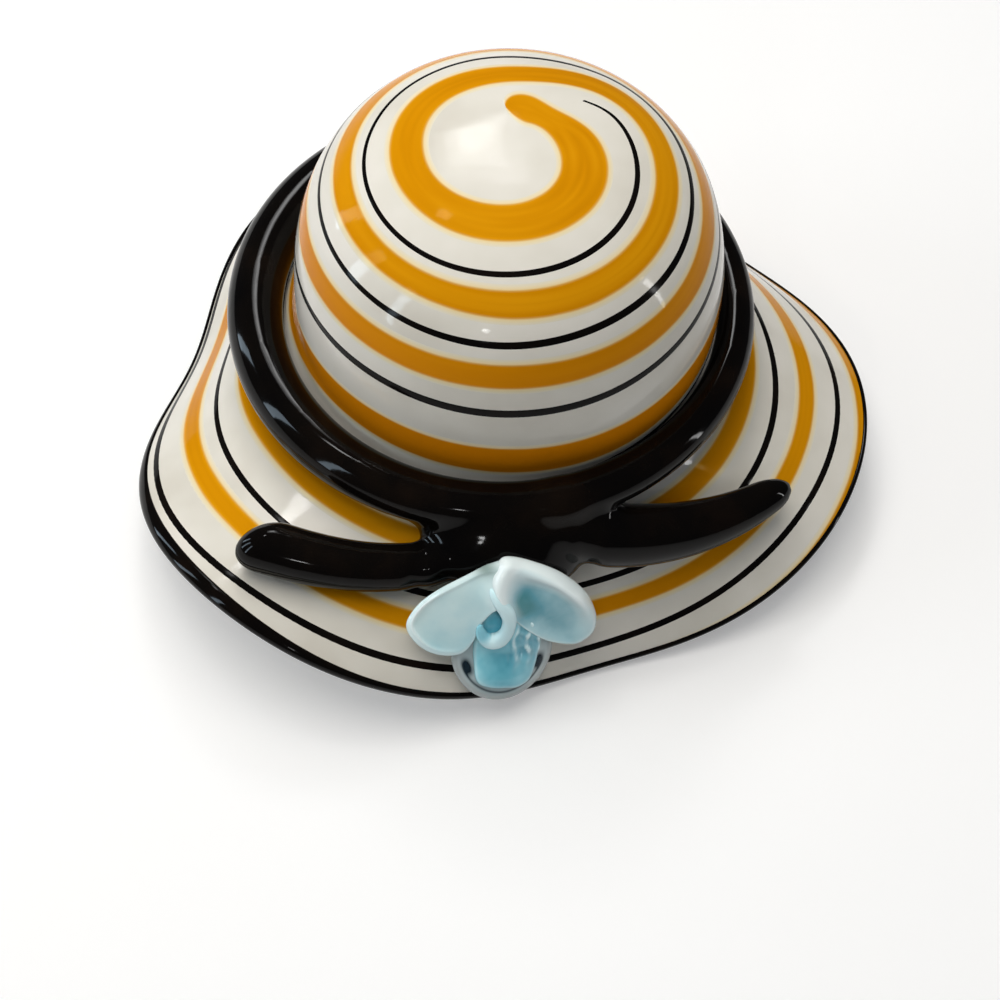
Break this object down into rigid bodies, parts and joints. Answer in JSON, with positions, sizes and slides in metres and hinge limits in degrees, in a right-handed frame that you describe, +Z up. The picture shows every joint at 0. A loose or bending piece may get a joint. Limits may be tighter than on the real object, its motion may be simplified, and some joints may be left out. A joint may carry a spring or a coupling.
{
  "type": "glass hat",
  "caption": "Decorative blown glass sun hat: white opal dome and wavy brim with spiral amber and black trails, a black glass band with a knotted bow, and a pale blue glass flower",
  "frame": {"origin": "under the middle of the outline, on the plane of the three low lobes that the hat rests on", "axes": "+Z up along the crown's axis, -Y to the front where the bow and flower are, +X to the right seen from the front"},
  "size_m": [0.2276, 0.2216, 0.1291],
  "materials": {
    "opal_glass": "gloss",
    "amber_glass": "gloss",
    "black_glass": "gloss",
    "ice_glass": "gloss",
    "clear_glass": "gloss",
    "aqua_glass": "gloss"
  },
  "bodies": {
    "root": {"opal_shell": "opal_glass", "amber_trail": "amber_glass", "black_trail": "black_glass", "lip_wrap": "black_glass", "hat_band": "black_glass", "bow_knot": "black_glass", "bow_tail_left": "black_glass", "bow_tail_right": "black_glass", "lip_petal": "clear_glass", "flower_throat": "aqua_glass", "petal_left": "ice_glass", "petal_right": "ice_glass", "flower_nub": "aqua_glass"}
  },
  "joints": []
}
